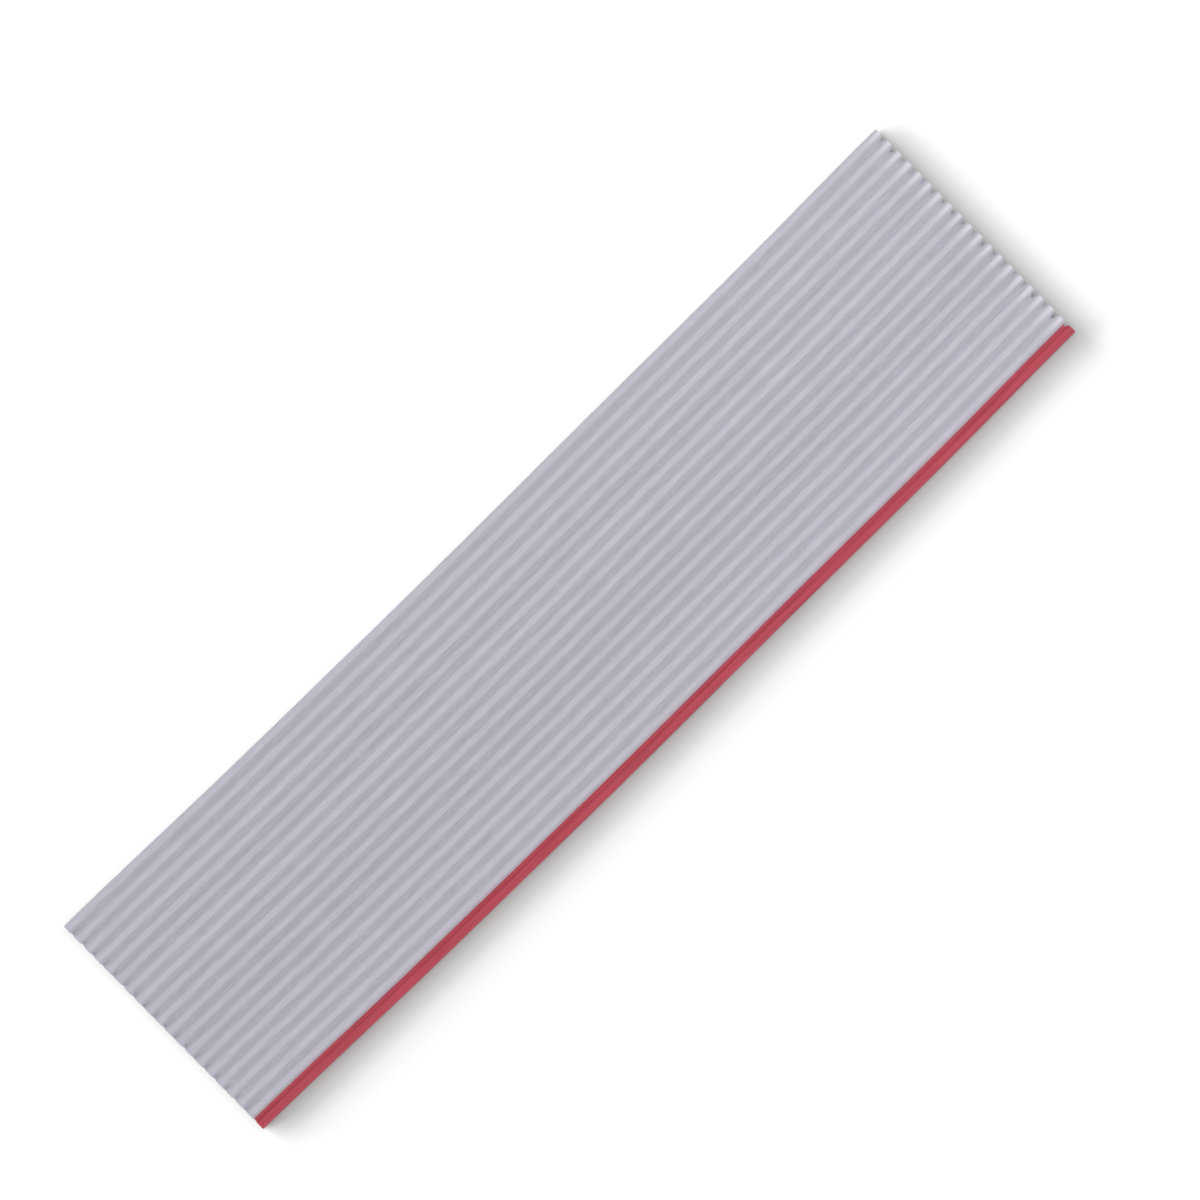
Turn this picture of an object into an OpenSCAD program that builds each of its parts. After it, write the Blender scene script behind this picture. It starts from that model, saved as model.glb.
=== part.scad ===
// Flat ribbon cable, a cut length with bare ends, grey with one red edge.
//
// The cable lies flat. Its length runs along X, its width along Y and its thickness along Z.
// The origin is at the centre of the footprint, on the surface that the cable lies on.
// Conductor 1 is under the red edge, at the -Y side. All sizes are in millimetres.

/* [Cable] */
// Length from one cut end to the other
cable_length = 100; // [30:1:400]
// Number of conductors, side by side
ways = 20; // [6:1:50]
// Distance between the centres of neighbouring conductors
pitch = 1.27; // [1.2:0.01:1.6]

/* [Insulation] */
// Diameter of the round lobe over each conductor
lobe_d = 0.89; // [0.8:0.01:1.1]
// Thickness of the web between two lobes, at its thinnest
web_t = 0.2; // [0.15:0.01:0.4]

/* [Conductors] */
// Diameter of one wire strand
strand_d = 0.127; // [0.1:0.001:0.15]
// Strands laid round the one in the middle
outer_strands = 6; // [3:1:6]
// Air between a strand and the one in the middle
strand_gap = 0.002; // [0.001:0.001:0.01]
// Air between the outer strands and the insulation
bore_gap = 0.002; // [0.001:0.001:0.02]

/* [Edge mark] */
// Thickness of the red coat on the edge lobe
coat_t = 0.05; // [0.03:0.01:0.1]
// Angle that the coat stays clear of each groove, in degrees
coat_setback = 4; // [2:1:20]

/* [Hidden] */
$fn = 48;

// The middle of the section is one lobe radius above the surface.
lobe_r = lobe_d / 2;
mid_z = lobe_r;

// A bundle is the middle strand with a ring of strands round it.
lay_r = strand_d + strand_gap;
bundle_d = 2 * lay_r + strand_d;
bore_d = bundle_d + 2 * bore_gap;

// Each groove is an arc that is tangent to both lobes and touches the web.
// That gives (pitch / 2)^2 + (groove_r + web_t / 2)^2 = (lobe_r + groove_r)^2.
half_pitch = pitch / 2;
half_web = web_t / 2;
groove_r = (half_pitch ^ 2 + half_web ^ 2 - lobe_r ^ 2) / (2 * (lobe_r - half_web));
groove_y = groove_r + half_web;
tangent_angle = atan2(groove_y, half_pitch);
tangent_y = lobe_r * sin(tangent_angle);

// The groove cutters go this far past the tangent point, so that the surfaces cross.
groove_overcut = 0.001;

// The coat covers the edge lobe apart from this much on each side of its web.
coat_start = tangent_angle + coat_setback;

// Sideways place of conductor i, counted from 1 at the red edge.
function conductor_y(i) = (i - (ways + 1) / 2) * pitch;

// Two digits keep the names in order.
function conductor_name(i) = str("conductor_", i < 10 ? "0" : "", i);

// Extrudes a section, drawn with width across and thickness up, along the cable.
module along_cable() {
    translate([-cable_length / 2, 0, mid_z])
        rotate([90, 0, 90])
            linear_extrude(height = cable_length)
                children();
}

// Places a section at each conductor from first to last.
module at_conductors(first, last) {
    for (i = [first:last])
        translate([conductor_y(i), 0])
            children();
}

// Joins two lobes, as high as the points where the groove arcs leave them.
module web_block() {
    translate([0, -tangent_y])
        square([pitch, 2 * tangent_y]);
}

// The round bottom of the valley between two lobes, above and below the web.
module groove_pair() {
    for (side = [-1, 1])
        translate([half_pitch, side * groove_y])
            circle(r = groove_r + groove_overcut);
}

// A ring from the coat's inside to a given radius, open towards the web.
module coat_ring(outer_r) {
    reach = 2 * outer_r;
    difference() {
        circle(r = outer_r);
        circle(r = lobe_r - coat_t);
        polygon([[0, 0], [reach, reach * tan(coat_start)], [reach, -reach * tan(coat_start)]]);
    }
}

// One extrusion of flexible vinyl: lobes joined by thin webs, a bore for each conductor,
// and a shallow recess round the edge lobe that the coat fills. The cutter of the recess
// reaches as far outside the lobe as the recess is deep.
module insulation() {
    color([0.71, 0.70, 0.74])
        along_cable()
            difference() {
                union() {
                    at_conductors(1, ways) circle(r = lobe_r);
                    at_conductors(1, ways - 1) web_block();
                }
                at_conductors(1, ways - 1) groove_pair();
                at_conductors(1, ways) circle(d = bore_d);
                at_conductors(1, 1) coat_ring(lobe_r + coat_t);
            }
}

// The red coat that marks conductor 1, flush with the lobes' diameter.
module red_edge_stripe() {
    color([0.76, 0.24, 0.31])
        along_cable()
            at_conductors(1, 1)
                coat_ring(lobe_r);
}

// One bundle of bare tinned copper strands, level with both cut ends.
module conductor(i) {
    color([0.80, 0.79, 0.76])
        along_cable()
            at_conductors(i, i) {
                circle(d = strand_d);
                for (k = [1:outer_strands])
                    rotate(k * 360 / outer_strands)
                        translate([lay_r, 0])
                            circle(d = strand_d);
            }
}

insulation();
red_edge_stripe();
for (i = [1:ways]) conductor(i);
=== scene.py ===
# %% [markdown]
# # A flat ribbon cable, from section to finished picture
#
# A ribbon cable is a row of thin stranded wires in one extruded vinyl jacket. This lesson
# dresses the measured model of a short cut length: the ribbed jacket, the red coat on the
# lobe of wire 1, and the twisted strands that show at the two cut ends.
#
# The measured model is loaded first and stays untouched. Every new piece is laid over it in
# the same place, in metres, with X along the cable, Y across it and Z up.

# %% Load the measured model
import math
import random

import bmesh
import bpy
from mathutils import Matrix, Vector


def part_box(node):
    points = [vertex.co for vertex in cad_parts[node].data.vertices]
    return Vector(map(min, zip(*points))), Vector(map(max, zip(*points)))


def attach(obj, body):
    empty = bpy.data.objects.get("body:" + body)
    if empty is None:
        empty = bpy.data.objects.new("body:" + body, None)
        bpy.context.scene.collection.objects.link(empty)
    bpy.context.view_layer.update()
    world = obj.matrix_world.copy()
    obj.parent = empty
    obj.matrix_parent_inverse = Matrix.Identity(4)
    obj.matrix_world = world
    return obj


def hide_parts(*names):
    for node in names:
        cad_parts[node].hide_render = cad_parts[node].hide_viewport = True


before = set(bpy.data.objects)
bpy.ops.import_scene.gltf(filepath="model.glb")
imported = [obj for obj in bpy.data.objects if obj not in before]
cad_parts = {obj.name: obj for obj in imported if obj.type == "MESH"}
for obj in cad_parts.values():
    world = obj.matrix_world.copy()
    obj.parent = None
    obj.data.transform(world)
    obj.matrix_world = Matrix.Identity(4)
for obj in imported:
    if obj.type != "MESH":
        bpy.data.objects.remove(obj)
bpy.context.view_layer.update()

# %% [markdown]
# ## Sizes
#
# The length, the lobe diameter, the wire count and the pitch are read from the measured
# pieces, so that nothing has to be fitted later. The few sizes that a box can't tell, such as
# the web between two lobes, are written here once, in millimetres. The meshes are drawn in
# millimetres too, because Blender's mesh operators work best on numbers near 1, and are
# brought to metres at the end.

# %% Sizes of the cable, in millimetres
MM = 0.001

low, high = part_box("insulation")
length = (high.x - low.x) / MM
lobe_r = (high.z - low.z) / MM / 2
mid_z = (high.z + low.z) / MM / 2

wire_names = sorted(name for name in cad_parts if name.startswith("conductor_"))
ways = len(wire_names)


def middle_y(node):
    """Sideways place of the middle of a measured node, in millimetres."""
    node_low, node_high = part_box(node)
    return (node_low.y + node_high.y) / MM / 2


wire_y = [middle_y(name) for name in wire_names]
pitch = (wire_y[-1] - wire_y[0]) / (ways - 1)

web_t = 0.2  # thickness of the web between two lobes
bore_r = 0.1945  # radius of the bore that holds a wire
strand_r = 0.0635  # radius of one strand
lay_r = 0.129  # from the middle of a wire to the middle of an outer strand
coat_t = 0.05  # thickness of the red coat
coat_setback = math.radians(4)  # how far the coat ends before the groove begins

# A groove is an arc that touches both lobes and the web.
half_web = web_t / 2
groove_r = ((pitch / 2) ** 2 + half_web**2 - lobe_r**2) / (2 * (lobe_r - half_web))
groove_z = groove_r + half_web
tangent = math.atan2(groove_z, pitch / 2)
coat_start = tangent + coat_setback
print(f"{ways} wires, {pitch:.3f} mm apart, in a jacket {length:.1f} mm long")
print(f"lobe radius {lobe_r:.3f} mm, groove radius {groove_r:.3f} mm")

# %% [markdown]
# ## The way it lies
#
# A cut length of ribbon keeps a little of the curve that it had on the reel. Seen from above
# it is straight to within half a millimetre: both ends swing away from the red side, and the
# middle leans very slightly the other way. Each soft bend is a bell curve along the cable, and
# the same function moves every piece, so that wires, jacket and coat stay together.

# %% Sideways bends: place along the cable, how far, and how long, in millimetres
soft_bends = [
    (-length / 2, 0.4, 15.0),
    (-length / 20, -0.1, 14.0),
    (length / 2, 0.24, 12.0),
]


def sideways(x):
    """How far the cable lies beside its straight line at a place along it."""
    return sum(far * math.exp(-(((x - place) / reach) ** 2)) for place, far, reach in soft_bends)


for x in (-length / 2, -length / 4, 0, length / 2):
    print(f"at {x:6.1f} mm the cable lies {sideways(x):+.2f} mm to the side")

# %% [markdown]
# ## Finishing a mesh
#
# Every piece ends the same way: its flat pattern coordinates are stored while it is still
# straight, then it takes the bend, goes to metres and becomes an object at the origin. The
# pattern coordinates are a UV map that holds the place along and across the straight cable,
# so streaks in a material follow the bend as die lines in real vinyl do.

# %% Helpers that take a bmesh to a finished piece
SMOOTH_BELOW = math.radians(38)
NEAR = 1e-4


def store_flat_pattern(bm):
    """Writes the place along and across the straight cable, in metres, to a UV map."""
    layer = bm.loops.layers.uv.new("flat")
    for face in bm.faces:
        for loop in face.loops:
            loop[layer].uv = (loop.vert.co.x * MM, loop.vert.co.y * MM)


def finish_piece(bm, name, material):
    """Bends, scales and stores a straight mesh in millimetres as an object in metres."""
    store_flat_pattern(bm)
    for vert in bm.verts:
        vert.co.y += sideways(vert.co.x)
    bmesh.ops.scale(bm, vec=(MM, MM, MM), verts=bm.verts)
    mesh = bpy.data.meshes.new(name)
    bm.to_mesh(mesh)
    bm.free()
    mesh.shade_smooth()
    mesh.set_sharp_from_angle(angle=SMOOTH_BELOW)
    mesh.materials.append(material)
    piece = bpy.data.objects.new(name, mesh)
    bpy.context.scene.collection.objects.link(piece)
    triangles = sum(len(face.vertices) - 2 for face in mesh.polygons)
    print(f"{name}: {triangles} triangles")
    return piece


print(f"edges that turn by more than {math.degrees(SMOOTH_BELOW):.0f} degrees stay sharp")

# %% [markdown]
# ## Colours and nodes
#
# Colours are written as sRGB hex values, the way a colour picker shows them, and one function
# turns them to the linear numbers that a shader needs. One more function adds a node, sets
# its properties and sockets, and makes its links, which keeps each material short.

# %% Colour and node helpers
def linear(hex_code):
    """sRGB hex to linear RGBA."""
    channels = [int(hex_code[i : i + 2], 16) / 255 for i in (1, 3, 5)]
    curved = [c / 12.92 if c <= 0.04045 else ((c + 0.055) / 1.055) ** 2.4 for c in channels]
    return (*curved, 1.0)


def add_node(tree, kind, inputs=None, **settings):
    """Adds a node. `inputs` gives a socket a value, or links it if that is another socket.

    A socket goes by its name, or by its number where a node has several of one name.
    """
    node = tree.nodes.new(kind)
    for name, value in settings.items():
        setattr(node, name, value)
    for name, value in (inputs or {}).items():
        socket = node.inputs[name]
        if isinstance(value, bpy.types.NodeSocket):
            tree.links.new(value, socket)
        else:
            socket.default_value = value
    return node


def new_material(name):
    """A material with an empty node tree, and that tree."""
    material = bpy.data.materials.new(name)
    material.use_nodes = True
    material.node_tree.nodes.clear()
    return material, material.node_tree


print(f"#808080 is half way up in sRGB and {linear('#808080')[0]:.3f} in linear light")

# %% [markdown]
# ## Marks that run along the cable
#
# Vinyl, ink and wire are all drawn through a die, so what marks them runs along the cable. One
# pattern serves all three: noise on the flat pattern map, stretched to the length and width of
# the real marks in millimetres. The finishes differ in those sizes and in how fine the noise is.

# %% Streaks on the flat pattern map
def streaks(tree, mark_length, mark_width, detail, roughness):
    """Noise drawn out along the cable. Returns the noise and the flat place it is read at."""
    flat = add_node(tree, "ShaderNodeUVMap", uv_map="flat")
    stretched = add_node(
        tree,
        "ShaderNodeMapping",
        {"Vector": flat.outputs["UV"], "Scale": (1 / mark_length, 1 / mark_width, 1)},
    )
    noise = add_node(
        tree,
        "ShaderNodeTexNoise",
        {
            "Vector": stretched.outputs["Vector"],
            "Scale": 1.0,
            "Detail": detail,
            "Roughness": roughness,
        },
    )
    return noise.outputs["Fac"], flat.outputs["UV"]


print(f"a mark 1 mm long fits {length:.0f} times between the cuts")

# %% [markdown]
# ## Grey flexible vinyl: its tone
#
# The jacket is plasticised PVC, pressed hot through a die that draws all twenty lobes at once,
# and the die leaves very fine lines along the cable. Real die lines are a few hundredths of a
# millimetre apart. They are drawn 0.12 mm wide here, a little over a pixel of the picture, and
# fade out within a few millimetres, which gives the crests their soft mottling.
#
# Each lobe also has its own slight tone. The place across the cable, counted in pitches and
# rounded down, numbers the lobes, and white noise gives each number a tone.

# %% Die lines and a tone for each lobe
DIE_LINE_WIDTH = 0.12 * MM
DIE_LINE_LENGTH = 2.5 * MM
LOBE_SHARE = 0.12
TONE_SPAN = (0.34, 0.76)


def vinyl_tone(tree, die_lines, pitches_across):
    """The grey of a place, between two close greys."""
    lobe_number = add_node(tree, "ShaderNodeMath", {0: pitches_across}, operation="FLOOR")
    lobe_tone = add_node(
        tree,
        "ShaderNodeTexWhiteNoise",
        {"W": lobe_number.outputs["Value"]},
        noise_dimensions="1D",
    )
    both = add_node(
        tree,
        "ShaderNodeMath",
        {0: lobe_tone.outputs["Value"], 1: LOBE_SHARE, 2: die_lines},
        operation="MULTIPLY_ADD",
    )
    tone = add_node(
        tree,
        "ShaderNodeMapRange",
        {"Value": both.outputs["Value"], "From Min": TONE_SPAN[0], "From Max": TONE_SPAN[1]},
    )
    grey_mix = add_node(
        tree,
        "ShaderNodeMix",
        {"Factor": tone.outputs["Result"], "A": linear("#b7b5c0"), "B": linear("#c7c5d0")},
        data_type="RGBA",
    )
    return grey_mix.outputs["Result"]


print(f"a lobe is {pitch * MM / DIE_LINE_WIDTH:.0f} die lines wide")

# %% [markdown]
# ## Grey flexible vinyl: painted shade in its valleys
#
# The valleys are darker than their shape alone makes them, because shade is painted into the
# vinyl's colour there. Close to the cuts the painted shade in the valleys is deeper still.
#
# The distance from the nearest valley is the place across the cable, folded back and forth
# once per pitch, so it runs from 0 in a valley to half a pitch on a crest.

# %% Painted shade in the valleys
PAINTED_VALLEY_REACH = 0.2
PAINTED_VALLEY_SHADE = 0.88
PAINTED_CUT_REACH = 0.9 * MM
PAINTED_CUT_SHADE = 0.6


def painted_valley_shade(tree, along, from_valley):
    """Painted shade: how much of its colour a place keeps, all on a lobe, less in a valley, least
    at a cut.
    """
    out_along = add_node(tree, "ShaderNodeMath", {0: along}, operation="ABSOLUTE")
    in_valley = add_node(
        tree,
        "ShaderNodeMapRange",
        {
            "Value": out_along.outputs["Value"],
            "From Min": length * MM / 2 - PAINTED_CUT_REACH,
            "From Max": length * MM / 2,
            "To Min": PAINTED_VALLEY_SHADE,
            "To Max": PAINTED_CUT_SHADE,
        },
    )
    light = add_node(
        tree,
        "ShaderNodeMapRange",
        {
            "Value": from_valley,
            "From Max": PAINTED_VALLEY_REACH,
            "To Min": in_valley.outputs["Result"],
        },
        interpolation_type="SMOOTHSTEP",
    )
    return light.outputs["Result"]


print(f"shade reaches {PAINTED_VALLEY_REACH * pitch:.2f} mm to each side of a valley")

# %% [markdown]
# ## Grey flexible vinyl: a painted highlight on its tips
#
# At one end the crests are paler, because a highlight is painted on them there. Two ramps are
# multiplied for that: one rises over the last few millimetres of the cable, and the other from
# the flank of each lobe to its crest.

# %% Painted highlight on the crests at one end
PAINTED_HIGHLIGHT_LENGTH = 2.4 * MM
PAINTED_HIGHLIGHT_SPAN = (0.25, 0.45)
PAINTED_HIGHLIGHT_SHARE = 0.75


def painted_tip_highlight(tree, along, from_valley):
    """How much of the painted highlight's pale tone a place takes."""
    tip = add_node(
        tree,
        "ShaderNodeMapRange",
        {
            "Value": along,
            "From Min": length * MM / 2 - PAINTED_HIGHLIGHT_LENGTH,
            "From Max": length * MM / 2,
        },
        interpolation_type="SMOOTHSTEP",
    )
    crest = add_node(
        tree,
        "ShaderNodeMapRange",
        {
            "Value": from_valley,
            "From Min": PAINTED_HIGHLIGHT_SPAN[0],
            "From Max": PAINTED_HIGHLIGHT_SPAN[1],
            "To Max": PAINTED_HIGHLIGHT_SHARE,
        },
        interpolation_type="SMOOTHSTEP",
    )
    share = add_node(
        tree,
        "ShaderNodeMath",
        {0: tip.outputs["Result"], 1: crest.outputs["Result"]},
        operation="MULTIPLY",
    )
    return share.outputs["Value"]


print(f"pale tips {PAINTED_HIGHLIGHT_LENGTH / MM:.1f} mm long")

# %% [markdown]
# ## Grey flexible vinyl: its surface
#
# The surface is satin: a soft, wide sheen and no mirror. PVC has an IOR of about 1.53, and
# light goes a few tenths of a millimetre into it, so the shader has a subsurface part. The die
# lines vary the gloss a little and raise a relief of a hundredth of a millimetre.

# %% Grey vinyl material
VINYL_SATIN = (0.36, 0.5)
VINYL_DEPTH = 0.3 * MM
RELIEF_HEIGHT = 0.01 * MM


def grey_vinyl():
    """Extruded flexible PVC: satin, streaked along its length, with painted shade in its valleys
    and a painted highlight on its crests at one end.
    """
    material, tree = new_material("grey_extruded_vinyl")
    die_lines, flat = streaks(tree, DIE_LINE_LENGTH, DIE_LINE_WIDTH, detail=3.0, roughness=0.6)
    place = add_node(tree, "ShaderNodeSeparateXYZ", {"Vector": flat})
    across = add_node(
        tree, "ShaderNodeMath", {0: place.outputs["Y"], 1: pitch * MM}, operation="DIVIDE"
    )
    folded = add_node(
        tree, "ShaderNodeMath", {0: across.outputs["Value"], 1: 0.5}, operation="PINGPONG"
    )
    along = place.outputs["X"]
    pitches_across = across.outputs["Value"]
    from_valley = folded.outputs["Value"]
    # The tone is darkened by the painted shade in the valleys and at the cuts.
    shaded = add_node(
        tree,
        "ShaderNodeVectorMath",
        {
            0: vinyl_tone(tree, die_lines, pitches_across),
            "Scale": painted_valley_shade(tree, along, from_valley),
        },
        operation="SCALE",
    )
    # A painted highlight: a pale grey is mixed over the crests near one end.
    colour = add_node(
        tree,
        "ShaderNodeMix",
        {
            "Factor": painted_tip_highlight(tree, along, from_valley),
            "A": shaded.outputs["Vector"],
            "B": linear("#dad9de"),
        },
        data_type="RGBA",
    )
    gloss = add_node(
        tree,
        "ShaderNodeMapRange",
        {"Value": die_lines, "To Min": VINYL_SATIN[0], "To Max": VINYL_SATIN[1]},
    )
    relief = add_node(
        tree,
        "ShaderNodeBump",
        {"Height": die_lines, "Strength": 0.25, "Distance": RELIEF_HEIGHT},
    )
    shader = add_node(
        tree,
        "ShaderNodeBsdfPrincipled",
        {
            "Base Color": colour.outputs["Result"],
            "Roughness": gloss.outputs["Result"],
            "Normal": relief.outputs["Normal"],
            "IOR": 1.53,
            "Subsurface Weight": 0.4,
            "Subsurface Radius": (1.0, 0.9, 0.95),
            "Subsurface Scale": VINYL_DEPTH,
        },
    )
    add_node(tree, "ShaderNodeOutputMaterial", {"Surface": shader.outputs["BSDF"]})
    return material


grey = grey_vinyl()
print(grey.name, "has", len(grey.node_tree.nodes), "nodes")

# %% [markdown]
# ## Red vinyl ink
#
# The mark on wire 1 is a thin coat of red vinyl ink that the extruder lays on the warm jacket.
# It is a strong crimson, a little glossier than the grey, and its thickness varies along the
# cable, which shows as slow changes between a deeper and a lighter red.

# %% Red ink material
INK_PATCH_LENGTH = 6 * MM
INK_PATCH_WIDTH = 0.25 * MM
INK_SPAN = (0.3, 0.7)
INK_SATIN = (0.28, 0.44)


def red_ink():
    """Vinyl marking ink: crimson, satin, laid on unevenly along the cable."""
    material, tree = new_material("red_vinyl_ink")
    patches, _ = streaks(tree, INK_PATCH_LENGTH, INK_PATCH_WIDTH, detail=4.0, roughness=0.55)
    spread = add_node(
        tree,
        "ShaderNodeMapRange",
        {"Value": patches, "From Min": INK_SPAN[0], "From Max": INK_SPAN[1]},
    )
    colour = add_node(
        tree,
        "ShaderNodeMix",
        {"Factor": spread.outputs["Result"], "A": linear("#a63243"), "B": linear("#bd3f50")},
        data_type="RGBA",
    )
    gloss = add_node(
        tree,
        "ShaderNodeMapRange",
        {"Value": patches, "To Min": INK_SATIN[0], "To Max": INK_SATIN[1]},
    )
    relief = add_node(
        tree, "ShaderNodeBump", {"Height": patches, "Strength": 0.2, "Distance": RELIEF_HEIGHT}
    )
    shader = add_node(
        tree,
        "ShaderNodeBsdfPrincipled",
        {
            "Base Color": colour.outputs["Result"],
            "Roughness": gloss.outputs["Result"],
            "Normal": relief.outputs["Normal"],
            "IOR": 1.5,
        },
    )
    add_node(tree, "ShaderNodeOutputMaterial", {"Surface": shader.outputs["BSDF"]})
    return material


red = red_ink()
print(red.name, "has", len(red.node_tree.nodes), "nodes")

# %% [markdown]
# ## Tinned copper
#
# The strands are copper wire drawn through a die and dipped in molten tin. Tin is a pale,
# slightly warm white metal, and drawing leaves fine scratches along each strand. Only the cut
# tips show, so the pattern needs no more than a slow change of tone.

# %% Tinned copper material
SCRATCH_LENGTH = 2 * MM
SCRATCH_WIDTH = 0.03 * MM
METAL_SHINE = (0.22, 0.4)


def tinned_copper():
    """Drawn copper wire with a coat of tin: a pale metal with a soft shine."""
    material, tree = new_material("tinned_copper_wire")
    scratches, _ = streaks(tree, SCRATCH_LENGTH, SCRATCH_WIDTH, detail=2.0, roughness=0.5)
    colour = add_node(
        tree,
        "ShaderNodeMix",
        {"Factor": scratches, "A": linear("#b9b4aa"), "B": linear("#dcd9d2")},
        data_type="RGBA",
    )
    gloss = add_node(
        tree,
        "ShaderNodeMapRange",
        {"Value": scratches, "To Min": METAL_SHINE[0], "To Max": METAL_SHINE[1]},
    )
    shader = add_node(
        tree,
        "ShaderNodeBsdfPrincipled",
        {
            "Base Color": colour.outputs["Result"],
            "Roughness": gloss.outputs["Result"],
            "Metallic": 1.0,
        },
    )
    add_node(tree, "ShaderNodeOutputMaterial", {"Surface": shader.outputs["BSDF"]})
    return material


tin = tinned_copper()
print(tin.name, "has", len(tin.node_tree.nodes), "nodes")

# %% [markdown]
# ## The jacket's section
#
# The section could be drawn as one long outline and filled, but the fill would be long thin
# triangles. Instead it is made of half lobes. Each starts as one point on the crest, which is
# swung about the lobe's centre, then about the groove's centre, and last pulled down to the
# middle of the web. A second point swings round the bore in as many steps. Bridging the two
# chains gives a fan of clean four-sided faces, and a mirror makes the lower half.

# %% A quarter of a lobe, from its crest to its side
LOBE_STEPS = 5
GROOVE_STEPS = 4
ROUND_STEPS = 10
RIGHT_ANGLE = math.pi / 2


def swing(bm, vert, centre, angle, steps):
    """Swings a point about a centre in the YZ plane. Returns the last point of the chain."""
    swept = bmesh.ops.spin(
        bm,
        geom=[vert],
        cent=centre,
        axis=(1, 0, 0),
        dvec=(0, 0, 0),
        angle=angle,
        steps=steps,
        use_duplicate=False,
    )
    return next(item for item in swept["geom_last"] if isinstance(item, bmesh.types.BMVert))


def pull(bm, vert, target):
    """Draws an edge from a point to a place. Returns the new point."""
    drawn = bmesh.ops.extrude_vert_indiv(bm, verts=[vert])
    drawn["verts"][0].co = target
    return drawn["verts"][0]


def outer_chain(bm, webbed, coated):
    """The outside of a quarter lobe about the origin: crest, side, and half a groove."""
    crest_r = lobe_r - coat_t if coated else lobe_r
    last = bm.verts.new((0, 0, crest_r))
    if not webbed:
        return swing(bm, last, (0, 0, 0), -RIGHT_ANGLE, ROUND_STEPS)
    if coated:
        last = swing(bm, last, (0, 0, 0), coat_start - RIGHT_ANGLE, LOBE_STEPS)
        step_out = (0, lobe_r * math.cos(coat_start), lobe_r * math.sin(coat_start))
        last = pull(bm, last, step_out)
        last = swing(bm, last, (0, 0, 0), -coat_setback, 1)
    else:
        last = swing(bm, last, (0, 0, 0), tangent - RIGHT_ANGLE, LOBE_STEPS)
    last = swing(bm, last, (0, pitch / 2, groove_z), RIGHT_ANGLE - tangent, GROOVE_STEPS)
    return pull(bm, last, (0, pitch / 2, 0))


print(f"a lobe meets its groove {math.degrees(tangent):.1f} degrees above its side")

# %% [markdown]
# ## All the lobes side by side
#
# Each half lobe is finished in a bmesh of its own, so that the bridge and the mirror touch
# nothing else, and is then moved to its place beside the others. Only the two outermost halves
# have no web. The lobe of wire 1 is smaller by the thickness of its red coat. Where two webs
# meet, their points lie in the same place, and one call merges them all.

# %% Half a lobe in its place, then the whole section
def everything(bm):
    """All points, edges and faces of a bmesh, as the operators want them."""
    return bm.verts[:] + bm.edges[:] + bm.faces[:]


def half_lobe(centre_y, side, webbed, coated):
    """Half a lobe's section on one side of its centre line, as a mesh."""
    bm = bmesh.new()
    outer_chain(bm, webbed, coated)
    steps = len(bm.edges)
    swing(bm, bm.verts.new((0, 0, bore_r)), (0, 0, 0), -RIGHT_ANGLE, steps)
    bmesh.ops.bridge_loops(bm, edges=bm.edges[:])
    bmesh.ops.mirror(bm, geom=everything(bm), merge_dist=NEAR, axis="Z")
    bmesh.ops.scale(bm, vec=(1, side, 1), verts=bm.verts)
    bmesh.ops.translate(bm, vec=(-length / 2, centre_y, mid_z), verts=bm.verts)
    mesh = bpy.data.meshes.new("half_lobe")
    bm.to_mesh(mesh)
    bm.free()
    return mesh


def jacket_section():
    """All the lobes side by side, joined where their webs meet."""
    bm = bmesh.new()
    for number, centre_y in enumerate(wire_y):
        is_marked = number == 0
        halves = (
            half_lobe(centre_y, -1, webbed=number > 0, coated=is_marked),
            half_lobe(centre_y, 1, webbed=number < ways - 1, coated=is_marked),
        )
        for half in halves:
            bm.from_mesh(half)
            bpy.data.meshes.remove(half)
    bmesh.ops.remove_doubles(bm, verts=bm.verts, dist=NEAR)
    return bm


section = jacket_section()
print("jacket section:", len(section.verts), "points,", len(section.faces), "faces")

# %% [markdown]
# ## From section to solid
#
# Extruding the flat section along X closes it to a solid, bores and all. The long edges are
# then divided, so that the solid can bend, and a few more cuts near each end give the blade's
# marks something to move.

# %% Extrude a section along the cable and divide it
BEND_CUTS = 39
END_CUTS = (0.25, 0.9)


def run_along(bm):
    """Extrudes a flat section to the cable's length and divides it for bending."""
    swept = bmesh.ops.extrude_face_region(bm, geom=bm.faces[:])
    moved = [item for item in swept["geom"] if isinstance(item, bmesh.types.BMVert)]
    bmesh.ops.translate(bm, vec=(length, 0, 0), verts=moved)
    long_edges = [e for e in bm.edges if abs(e.verts[0].co.x - e.verts[1].co.x) > length / 2]
    bmesh.ops.subdivide_edges(bm, edges=long_edges, cuts=BEND_CUTS, use_grid_fill=True)
    for end in (-1, 1):
        for inset in END_CUTS:
            bmesh.ops.bisect_plane(
                bm,
                geom=everything(bm),
                dist=NEAR,
                plane_co=(end * (length / 2 - inset), 0, 0),
                plane_no=(1, 0, 0),
            )
    bmesh.ops.recalc_face_normals(bm, faces=bm.faces)


run_along(section)
print("jacket solid:", len(section.faces), "faces")

# %% [markdown]
# ## What the blade left: rolled edges
#
# A guillotine cuts the lobes square. The outer edge of each cut is slightly rounded, because
# soft vinyl rolls over before it parts, and a small bevel shows that. The rims of the bores
# stay sharp, because the strands hold the vinyl there.
#
# A face belongs to a cut when its normal points along the cable, and to the outside when it
# points across, so one limit half way between the two tells them apart.

# %% Round the outer rim of both cuts
ROLL_OVER = 0.04
CUT_FACE_LIMIT = 0.5
CLEAR_OF_BORE = 1.1


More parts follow.
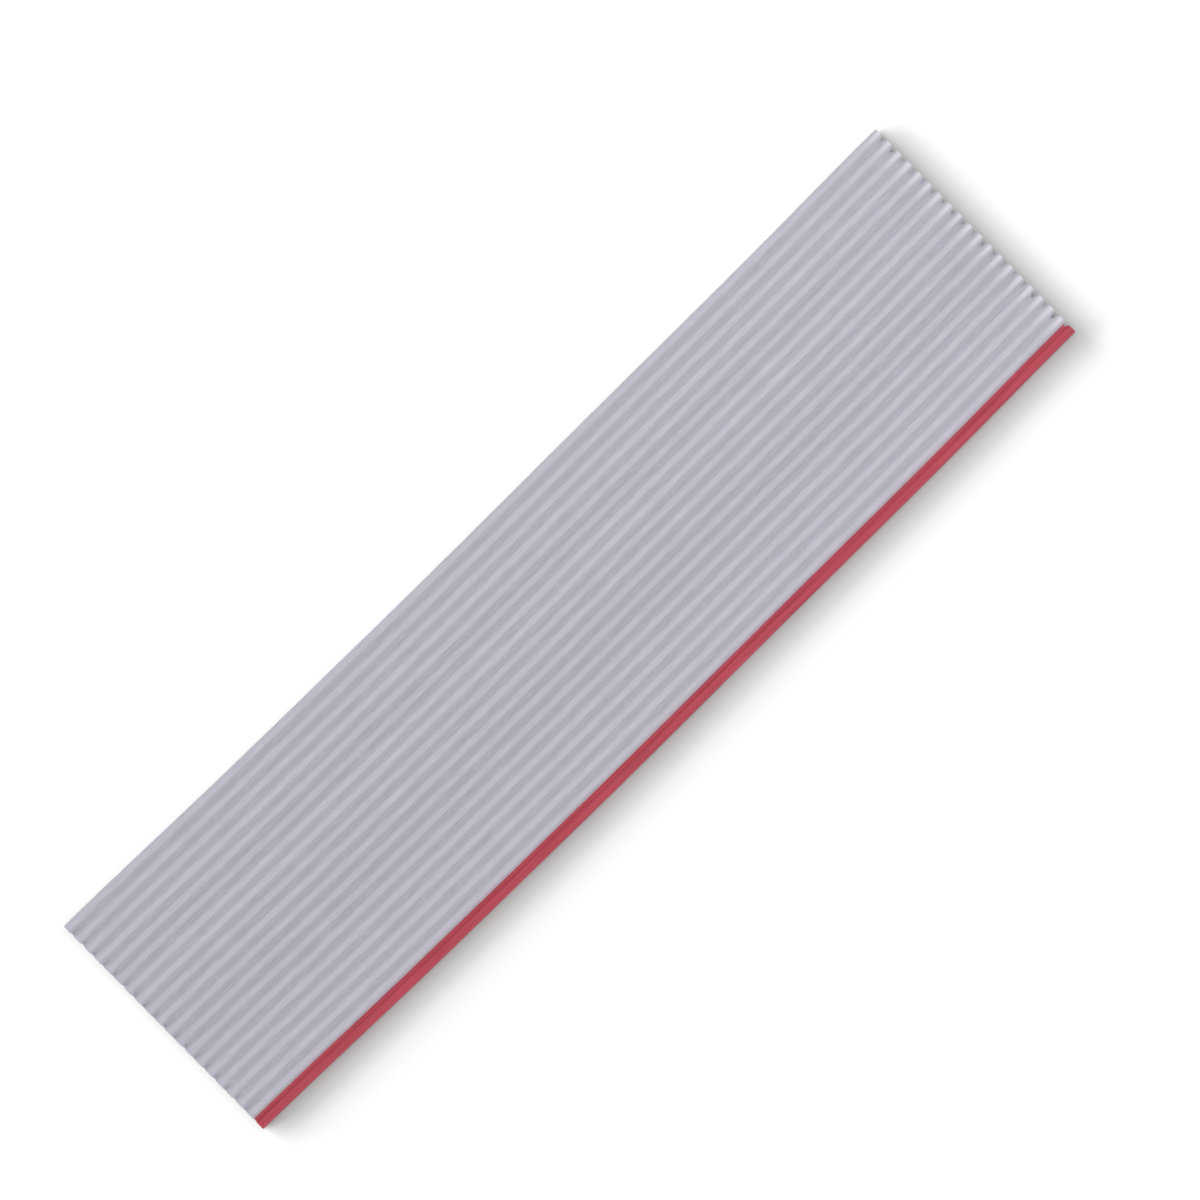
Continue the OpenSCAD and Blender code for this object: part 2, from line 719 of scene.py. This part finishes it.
def is_end_rim(edge):
    """True for an edge where the outside of the cable meets a cut face."""
    if len(edge.link_faces) != 2:
        return False
    along = [abs(face.normal.x) for face in edge.link_faces]
    if not max(along) > CUT_FACE_LIMIT > min(along):
        return False
    middle = (edge.verts[0].co + edge.verts[1].co) / 2
    nearest = min(wire_y, key=lambda y: abs(y - middle.y))
    return math.hypot(middle.y - nearest, middle.z - mid_z) > bore_r * CLEAR_OF_BORE


rims = [edge for edge in section.edges if is_end_rim(edge)]
bmesh.ops.bevel(
    section,
    geom=rims,
    offset=ROLL_OVER,
    offset_type="OFFSET",
    segments=2,
    profile=0.5,
    affect="EDGES",
    clamp_overlap=True,
    material=-1,
)
print("jacket with rolled edges:", len(section.faces), "faces")

# %% [markdown]
# ## Ink past the first lobe
#
# The ink of the red mark doesn't stop at its lobe. It runs into the first valley and a little
# past the middle of the web. It is too thin there to show an edge, so the jacket's outside
# faces in that strip are only given to the red material, which is the jacket's second one.
# The strip starts a little under the coat, so that no grey line shows between the two.

# %% Ink the first valley
INK_PAST_WEB = 0.15
INK_UNDER_COAT = 0.9

ink_start = wire_y[0] + INK_UNDER_COAT * lobe_r * math.cos(coat_start)
ink_end = wire_y[0] + pitch / 2 + INK_PAST_WEB
outside = [face for face in section.faces if abs(face.normal.x) < CUT_FACE_LIMIT]
inked = [face for face in outside if ink_start < face.calc_center_median().y < ink_end]
for face in inked:
    face.material_index = 1
print("faces inked:", len(inked))

# %% [markdown]
# ## What the blade left: torn webs
#
# The blade crushes and tears the thin webs a little. At one end they tore, so each valley ends
# in a notch and the lobes stand like the tips of fingers. The other end was cut cleanly, and
# its notches hardly show.
#
# Each web gets a depth of its own, drawn by chance between two limits for its end. A notch draws
# back the rings of points near the end as well, less and less with the distance, so that the
# faces stay in order.

# %% Notch the webs
NOTCH_HALF_WIDTH = 0.3
NOTCH_REACH = 2.2
NOTCH_DEPTHS = {-1: (0.02, 0.12), 1: (0.2, 0.7)}
NOTCH_SEED = 7


def notch_webs(bm):
    """Draws the cut back at each web, by a depth of its own."""
    chance = random.Random(NOTCH_SEED)
    depths = {
        end: [chance.uniform(*span) for _ in range(ways - 1)] for end, span in NOTCH_DEPTHS.items()
    }
    for vert in bm.verts:
        end = 1 if vert.co.x > 0 else -1
        fade = 1 - (length / 2 - abs(vert.co.x)) / NOTCH_REACH
        web = round((vert.co.y - wire_y[0]) / pitch - 0.5)
        off = abs(vert.co.y - (wire_y[0] + (web + 0.5) * pitch)) / NOTCH_HALF_WIDTH
        if 0 <= web < ways - 1 and fade > 0 and off < 1:
            depth = depths[end][web] * math.cos(off * RIGHT_ANGLE) ** 2
            vert.co.x -= end * depth * fade
    for end, drawn in depths.items():
        print(f"notches at end {end:+d}: {min(drawn):.2f} to {max(drawn):.2f} mm deep")


notch_webs(section)

# %% [markdown]
# ## The jacket as a piece
#
# The jacket takes the place of the measured insulation. The red ink is added after the grey, so
# it is the second material, which the inked faces already name.

# %% Finish the jacket
jacket = finish_piece(section, "ribbed_jacket", grey)
jacket.data.materials.append(red)
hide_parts("insulation")
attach(jacket, "root")

# %% [markdown]
# ## The red coat
#
# The coat is a sleeve, open towards the web. One short radial edge is swung round the lobe
# from just above the groove to just below it, and the strip of faces that it leaves is
# extruded like the jacket. It swings in the same steps as the jacket's recess, so the two
# surfaces lie on each other all the way round.

# %% Coat on the lobe of wire 1
def coat_section():
    """The open ring of red on the first lobe."""
    bm = bmesh.new()
    towards = Vector((0, math.cos(coat_start), math.sin(coat_start)))
    inner = bm.verts.new(towards * (lobe_r - coat_t))
    outer = bm.verts.new(towards * lobe_r)
    strip = [inner, outer, bm.edges.new((inner, outer))]
    turns = (
        (RIGHT_ANGLE - coat_start, LOBE_STEPS),
        (2 * RIGHT_ANGLE, 2 * ROUND_STEPS),
        (RIGHT_ANGLE - coat_start, LOBE_STEPS),
    )
    for angle, steps in turns:
        swept = bmesh.ops.spin(
            bm,
            geom=strip,
            cent=(0, 0, 0),
            axis=(1, 0, 0),
            dvec=(0, 0, 0),
            angle=angle,
            steps=steps,
            use_duplicate=False,
        )
        strip = swept["geom_last"]
    bmesh.ops.translate(bm, vec=(-length / 2, wire_y[0], mid_z), verts=bm.verts)
    return bm


coat = coat_section()
run_along(coat)
stripe = finish_piece(coat, "red_coat", red)
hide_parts("red_edge_stripe")
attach(stripe, "root")

# %% [markdown]
# ## Twisted strands
#
# Each wire is seven strands: one straight in the middle and six laid round it, one turn in
# about 12.7 mm. A strand is a small disc that is spun about the wire's axis and pushed along
# it at the same time, which is what the spin operator's step vector is for. One wire is made
# once, and the others are copies of its mesh.

# %% One strand, then one wire
OUTER_STRANDS = 6
STRAND_SIDES = 8
LAY_LENGTH = 12.7
STEPS_PER_TURN = 12


def strand(off_axis, start_angle, turns, steps):
    """One strand about the X axis: a disc spun and pushed along at the same time."""
    bm = bmesh.new()
    disc_place = Matrix.Rotation(start_angle, 4, "X") @ Matrix.Translation((0, off_axis, 0))
    face_along = Matrix.Rotation(RIGHT_ANGLE, 4, "Y")
    bmesh.ops.create_circle(
        bm,
        cap_ends=True,
        segments=STRAND_SIDES,
        radius=strand_r,
        matrix=disc_place @ face_along,
    )
    bmesh.ops.spin(
        bm,
        geom=everything(bm),
        cent=(0, 0, 0),
        axis=(1, 0, 0),
        dvec=(length / steps, 0, 0),
        angle=turns * 2 * math.pi,
        steps=steps,
        use_duplicate=False,
    )
    mesh = bpy.data.meshes.new("strand")
    bm.to_mesh(mesh)
    bm.free()
    return mesh


def one_wire():
    """Six strands laid round a seventh, from one cut to the other."""
    bm = bmesh.new()
    turns = length / LAY_LENGTH
    steps = round(turns * STEPS_PER_TURN)
    strands = [strand(0, 0, 0, BEND_CUTS + 1)]
    for number in range(OUTER_STRANDS):
        start_angle = number * 2 * math.pi / OUTER_STRANDS
        strands.append(strand(lay_r, start_angle, turns, steps))
    for mesh in strands:
        bm.from_mesh(mesh)
        bpy.data.meshes.remove(mesh)
    bmesh.ops.recalc_face_normals(bm, faces=bm.faces)
    bmesh.ops.translate(bm, vec=(-length / 2, 0, mid_z), verts=bm.verts)
    mesh = bpy.data.meshes.new("wire_pattern")
    bm.to_mesh(mesh)
    bm.free()
    return mesh


wire_pattern = one_wire()
print(f"one wire: {len(wire_pattern.polygons)} faces, {length / LAY_LENGTH:.1f} turns")

# %% [markdown]
# ## A wire in every lobe
#
# All twenty wires are alike, so each is the same mesh moved across to its own lobe. The bend is
# added after that, together with the name of the measured wire that it stands for.

# %% A copy of the wire for each lobe
for name, centre_y in zip(wire_names, wire_y):
    wire_bm = bmesh.new()
    wire_bm.from_mesh(wire_pattern)
    bmesh.ops.translate(wire_bm, vec=(0, centre_y, 0), verts=wire_bm.verts)
    wire = finish_piece(wire_bm, "strands_" + name[-2:], tin)
    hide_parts(name)
    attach(wire, "root")
bpy.data.meshes.remove(wire_pattern)

# %% [markdown]
# ## Camera
#
# The picture looks straight down through a long lens. The frame is a little wider than the
# cable is long, and the cable runs from lower left to upper right. Turning the camera about
# its own line of sight gives that slant, so the cable itself stays square to its axes.

# %% Camera straight above, turned to the slant of the cable
SLANT = math.radians(44.57)
PIXELS_PER_MM = 11.385
PICTURE_PIXELS = 1200
CABLE_CENTRE_PIXEL = (572.1, 631.7)
CAMERA_HEIGHT = 0.7

frame_width = PICTURE_PIXELS / PIXELS_PER_MM * MM
right = Vector((math.cos(SLANT), -math.sin(SLANT), 0))
up = Vector((math.sin(SLANT), math.cos(SLANT), 0))
to_right = (PICTURE_PIXELS / 2 - CABLE_CENTRE_PIXEL[0]) / PIXELS_PER_MM * MM
to_top = (CABLE_CENTRE_PIXEL[1] - PICTURE_PIXELS / 2) / PIXELS_PER_MM * MM

camera_data = bpy.data.cameras.new("picture_camera")
camera_data.lens = camera_data.sensor_width * CAMERA_HEIGHT / frame_width
camera = bpy.data.objects.new("picture_camera", camera_data)
camera.location = right * to_right + up * to_top + Vector((0, 0, CAMERA_HEIGHT + high.z))
camera.rotation_euler = (0, 0, -SLANT)
bpy.context.scene.collection.objects.link(camera)
bpy.context.scene.camera = camera
print(f"lens {camera_data.lens:.0f} mm, frame {frame_width / MM:.1f} mm wide")

# %% [markdown]
# ## White paper
#
# The cable lies on plain white paper. The paper has to come out pure white in the picture and
# still keep a soft shadow, so for the rays that reach the eye its colour is chosen for the
# light that falls on it, and every other ray sees a plain pale surface. A ray reaches the eye
# straight from the paper, by way of a shiny surface, or through a clear one.

# %% Floor and its material
FLOOR_SIZE = 2.0
FLOOR_SEEN = 0.57
FLOOR_PLAIN = 0.36


def reaches_the_eye(tree):
    """1 for camera, glossy and transmission rays, and 0 for the others."""
    rays = add_node(tree, "ShaderNodeLightPath")
    seen = add_node(
        tree,
        "ShaderNodeMath",
        {0: rays.outputs["Is Camera Ray"], 1: rays.outputs["Is Glossy Ray"]},
        operation="MAXIMUM",
    )
    seen_through = add_node(
        tree,
        "ShaderNodeMath",
        {0: seen.outputs["Value"], 1: rays.outputs["Is Transmission Ray"]},
        operation="MAXIMUM",
    )
    return seen_through.outputs["Value"]


def paper():
    """Plain matt paper, with a level of its own for the rays that reach the eye."""
    material, tree = new_material("plain_paper")
    colour = add_node(
        tree,
        "ShaderNodeMix",
        {
            "Factor": reaches_the_eye(tree),
            "A": (FLOOR_PLAIN, FLOOR_PLAIN, FLOOR_PLAIN, 1),
            "B": (FLOOR_SEEN, FLOOR_SEEN, FLOOR_SEEN, 1),
        },
        data_type="RGBA",
    )
    matt = add_node(tree, "ShaderNodeBsdfDiffuse", {"Color": colour.outputs["Result"]})
    add_node(tree, "ShaderNodeOutputMaterial", {"Surface": matt.outputs["BSDF"]})
    return material


floor_bm = bmesh.new()
bmesh.ops.create_grid(floor_bm, x_segments=1, y_segments=1, size=FLOOR_SIZE / 2)
floor_mesh = bpy.data.meshes.new("floor")
floor_bm.to_mesh(floor_mesh)
floor_bm.free()
floor_mesh.materials.append(paper())
floor = bpy.data.objects.new("floor", floor_mesh)
bpy.context.scene.collection.objects.link(floor)
print(f"floor {FLOOR_SIZE:.0f} m square, {FLOOR_SIZE / length / MM:.0f} times the cable's length")

# %% [markdown]
# ## Light from the sky
#
# The lobes are brightest exactly along their crests and fade evenly to both sides, so almost
# all the light comes from a pale sky all round. The rays that reach the eye see it as plain
# white. For all others its level is a little under 1, and the soft box makes up the rest, so
# that a colour renders about as it is written.

# %% World
SKY_LEVEL = 0.89


def sky():
    """Even white light all round, which the camera sees as plain white."""
    world = bpy.data.worlds.new("pale_sky")
    world.use_nodes = True
    tree = world.node_tree
    tree.nodes.clear()
    level = add_node(
        tree,
        "ShaderNodeMapRange",
        {"Value": reaches_the_eye(tree), "To Min": SKY_LEVEL, "To Max": 1.0},
    )
    glow = add_node(
        tree,
        "ShaderNodeBackground",
        {"Color": linear("#ffffff"), "Strength": level.outputs["Result"]},
    )
    add_node(tree, "ShaderNodeOutputWorld", {"Surface": glow.outputs["Background"]})
    return world


bpy.context.scene.world = sky()
bpy.context.scene.view_settings.view_transform = "Standard"
print("sky level:", SKY_LEVEL)

# %% [markdown]
# ## A soft box off one end
#
# One end of the cable is a little brighter, so a small soft box hangs beyond that end, facing
# down. The camera doesn't see the box itself. An area lamp's energy is its whole output, and
# what reaches the middle of the cable falls with the square of the distance and with the slant
# at the lamp and at the cable. Turning that round gives the energy for a wanted level.

# %% Soft box
SOFT_BOX_SIZE = 0.12
SOFT_BOX_PLACE = Vector((0.16, 0, 0.2))
SOFT_BOX_LEVEL = 0.1

box_data = bpy.data.lights.new("soft_box", "AREA")
box_data.size = SOFT_BOX_SIZE
box_data.energy = SOFT_BOX_LEVEL * math.pi**2 * SOFT_BOX_PLACE.length**4 / SOFT_BOX_PLACE.z**2
soft_box = bpy.data.objects.new("soft_box", box_data)
soft_box.location = SOFT_BOX_PLACE
soft_box.visible_camera = False
bpy.context.scene.collection.objects.link(soft_box)
print(f"soft box: {box_data.energy:.3f} W for a level of {SOFT_BOX_LEVEL}")

# %% [markdown]
# ## Low lamps for the shadow
#
# The shadow lies on the paper beside the red edge and beyond one end, and nowhere else, so it
# is cast from the other side, low down. A lamp there would also spoil the even light on the
# lobes, so it belongs to the paper alone. Light linking says so, and the cable still blocks the
# lamp, which makes the shadow.
#
# The shadow is as soft beyond the end as it is beside the edge, so the one lamp is three wide
# ones side by side, which share its level. A sun lamp's energy counts for a surface that faces
# it, so on the paper it is divided by the sine of the lamp's height.

# %% Low lamps
LOW_LAMP_ELEVATION = math.radians(10.4)
LOW_LAMP_WIDTH = math.radians(22)
LOW_LAMP_TURNS = [math.radians(14), math.radians(38), math.radians(62)]
LOW_LAMP_LEVEL = 0.9

lit_by_low_lamps = bpy.data.collections.new("lit_by_low_lamps")
lit_by_low_lamps.objects.link(floor)
lamp_data = bpy.data.lights.new("low_lamp", "SUN")
lamp_data.angle = LOW_LAMP_WIDTH
lamp_data.energy = LOW_LAMP_LEVEL * math.pi / math.sin(LOW_LAMP_ELEVATION) / len(LOW_LAMP_TURNS)
for turn in LOW_LAMP_TURNS:
    low_lamp = bpy.data.objects.new("low_lamp", lamp_data)
    low_lamp.rotation_euler = (RIGHT_ANGLE - LOW_LAMP_ELEVATION, 0, math.pi + turn)
    low_lamp.light_linking.receiver_collection = lit_by_low_lamps
    bpy.context.scene.collection.objects.link(low_lamp)
print(f"low lamps: {len(LOW_LAMP_TURNS)} of {lamp_data.energy:.2f} W per square metre")
